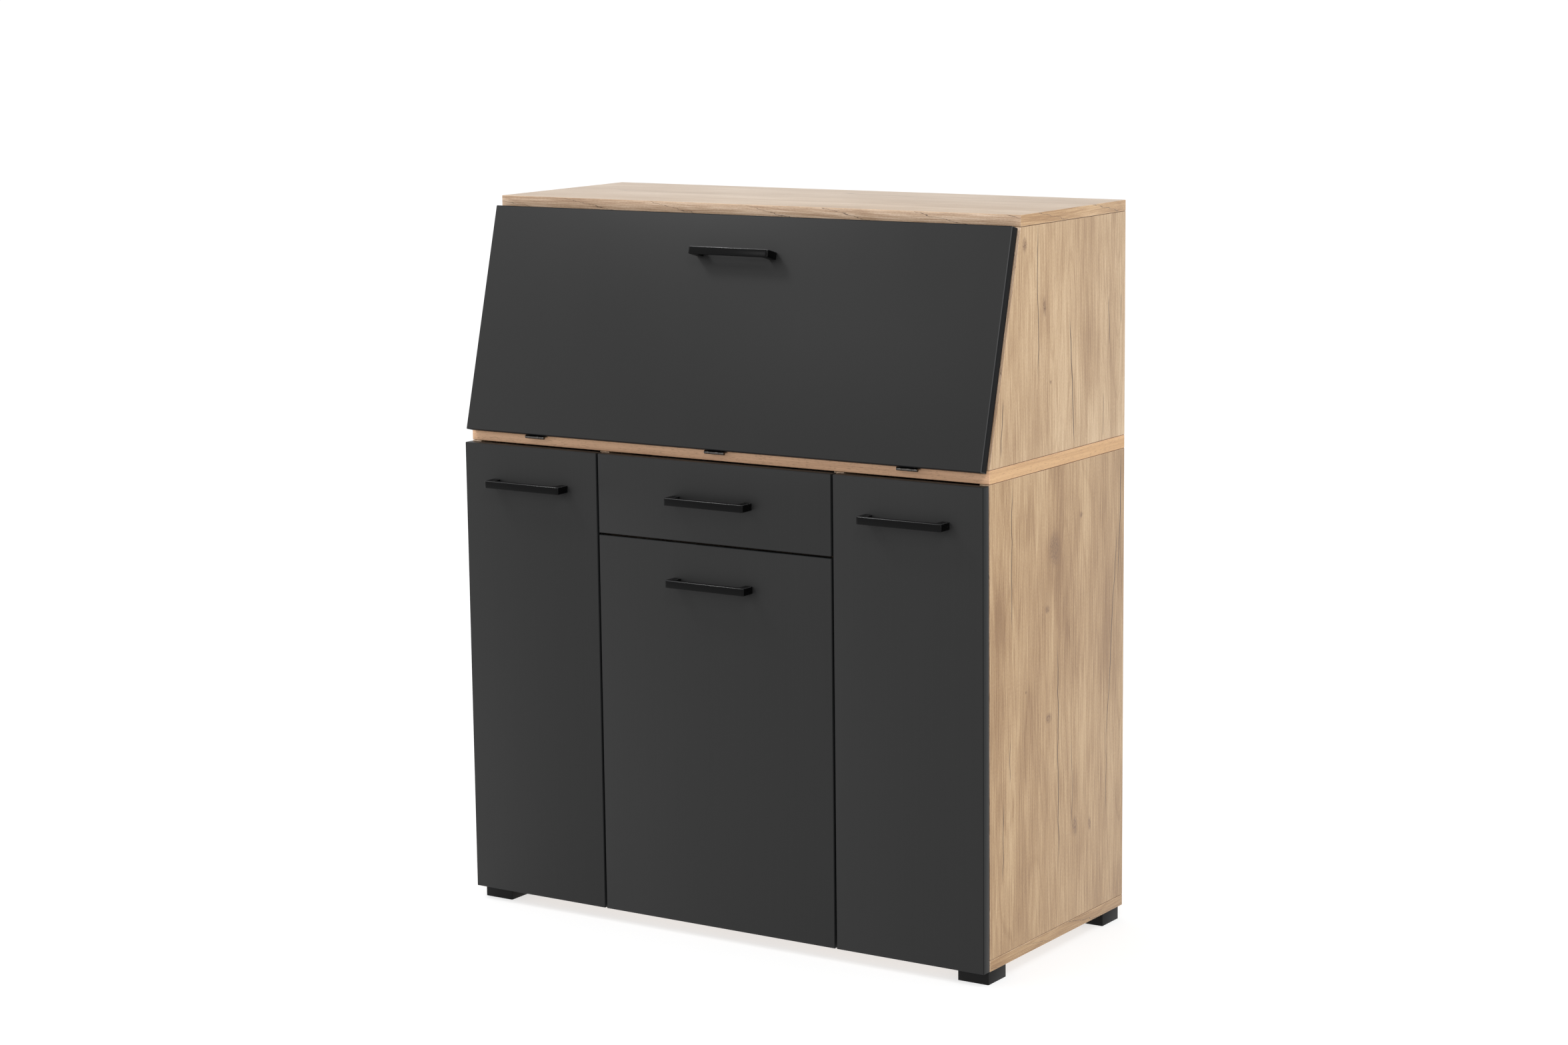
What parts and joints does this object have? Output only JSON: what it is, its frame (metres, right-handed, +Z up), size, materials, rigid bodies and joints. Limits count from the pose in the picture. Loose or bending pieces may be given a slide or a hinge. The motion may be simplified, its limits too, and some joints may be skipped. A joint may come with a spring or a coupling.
{
  "type": "secretary desk",
  "caption": "Base cabinet with side-hung doors and a drawer under a desk board, with a writing compartment above behind a leaning drop-down flap on stays.",
  "frame": {"origin": "on the floor under the middle of the whole object's box, handles included", "axes": "+Z up, +Y from the fronts to the back, +X to the right seen from the front"},
  "size_m": [0.9, 0.443, 1.076],
  "materials": {
    "oak": "open-pored oak decor, matt",
    "beech": "oak decor with a plain edge band",
    "graphite": "matt graphite decor on chipboard",
    "black_metal": "satin black",
    "black_plastic": "moulded, matt",
    "nickel": "nickel plated",
    "zinc_steel": "zinc plated",
    "white_board": "white foil on chipboard",
    "white_plastic": "moulded",
    "hardboard": "thin hardboard"
  },
  "bodies": {
    "carcass": {"front_left_foot": "black_plastic", "front_right_foot": "black_plastic", "rear_left_foot": "black_plastic", "rear_right_foot": "black_plastic", "bottom_panel": "oak", "left_lower_side": "oak", "right_lower_side": "oak", "left_divider": "oak", "right_divider": "oak", "drawer_shelf": "oak", "left_shelf": "oak", "centre_shelf": "oak", "right_shelf": "oak", "lower_back_panel": "hardboard", "desk_board": "beech", "left_upper_side": "oak", "right_upper_side": "oak", "letter_shelf": "oak", "upper_back_panel": "hardboard", "top_panel": "oak", "left_drawer_runner": "white_plastic", "right_drawer_runner": "white_plastic", "left_flap_hinge_fixed_leaf": "nickel", "left_door_lower_hinge_arm": "nickel", "left_door_upper_hinge_arm": "nickel", "centre_flap_hinge_fixed_leaf": "nickel", "centre_door_lower_hinge_arm": "nickel", "centre_door_upper_hinge_arm": "nickel", "right_flap_hinge_fixed_leaf": "nickel", "right_door_lower_hinge_arm": "nickel", "right_door_upper_hinge_arm": "nickel"},
    "flap": {"flap_panel": "graphite", "flap_handle": "black_metal", "left_flap_hinge_flap_leaf": "nickel", "centre_flap_hinge_flap_leaf": "nickel", "right_flap_hinge_flap_leaf": "nickel", "left_stay_bracket": "zinc_steel", "right_stay_bracket": "zinc_steel"},
    "left_stay_rear": {"left_stay_rear_arm": "zinc_steel"},
    "left_stay_front": {"left_stay_front_arm": "zinc_steel"},
    "right_stay_rear": {"right_stay_rear_arm": "zinc_steel"},
    "right_stay_front": {"right_stay_front_arm": "zinc_steel"},
    "left_door": {"left_door": "graphite", "left_door_handle": "black_metal", "left_door_lower_hinge_cup": "nickel", "left_door_upper_hinge_cup": "nickel"},
    "centre_door": {"centre_door": "graphite", "centre_door_handle": "black_metal", "centre_door_lower_hinge_cup": "nickel", "centre_door_upper_hinge_cup": "nickel"},
    "right_door": {"right_door": "graphite", "right_door_handle": "black_metal", "right_door_lower_hinge_cup": "nickel", "right_door_upper_hinge_cup": "nickel"},
    "drawer": {"drawer_front": "graphite", "drawer_handle": "black_metal", "drawer_left_side": "white_board", "drawer_right_side": "white_board", "drawer_back": "white_board", "drawer_bottom": "hardboard"}
  },
  "joints": [
    {"name": "flap_hinge", "type": "hinge", "parent": "carcass", "child": "flap", "pos_m": [0, -0.18798, 0.7263], "axis": [1, 0, 0], "range_deg": [0, 104.86]},
    {"name": "left_stay_rear_pivot", "type": "hinge", "parent": "carcass", "child": "left_stay_rear", "pos_m": [-0.4307, 0.0615, 0.86], "axis": [1, 0, 0], "range_deg": [0, 118]},
    {"name": "left_stay_front_pivot", "type": "hinge", "parent": "flap", "child": "left_stay_front", "pos_m": [-0.4277, -0.1475, 0.82937], "axis": [1, 0, 0], "range_deg": [-110.25, 0]},
    {"name": "right_stay_rear_pivot", "type": "hinge", "parent": "carcass", "child": "right_stay_rear", "pos_m": [0.4307, 0.0615, 0.86], "axis": [1, 0, 0], "range_deg": [0, 118]},
    {"name": "right_stay_front_pivot", "type": "hinge", "parent": "flap", "child": "right_stay_front", "pos_m": [0.4277, -0.1475, 0.82937], "axis": [1, 0, 0], "range_deg": [-110.25, 0]},
    {"name": "left_door_hinge", "type": "hinge", "parent": "carcass", "child": "left_door", "pos_m": [-0.444, -0.1903, 0.02], "axis": [0, 0, -1], "range_deg": [0, 93]},
    {"name": "centre_door_hinge", "type": "hinge", "parent": "carcass", "child": "centre_door", "pos_m": [-0.197, -0.1903, 0.02], "axis": [0, 0, -1], "range_deg": [0, 93]},
    {"name": "right_door_hinge", "type": "hinge", "parent": "carcass", "child": "right_door", "pos_m": [0.444, -0.1903, 0.02], "axis": [0, 0, 1], "range_deg": [0, 93]},
    {"name": "drawer_slide", "type": "slide", "parent": "carcass", "child": "drawer", "axis": [0, -1, 0], "range_m": [0, 0.26]}
  ],
  "couplings": [
    {"joint": "left_stay_rear_pivot", "follows": "flap_hinge", "ratio": 1.1252},
    {"joint": "left_stay_front_pivot", "follows": "flap_hinge", "ratio": -1.0512},
    {"joint": "right_stay_rear_pivot", "follows": "flap_hinge", "ratio": 1.1252},
    {"joint": "right_stay_front_pivot", "follows": "flap_hinge", "ratio": -1.0512}
  ]
}
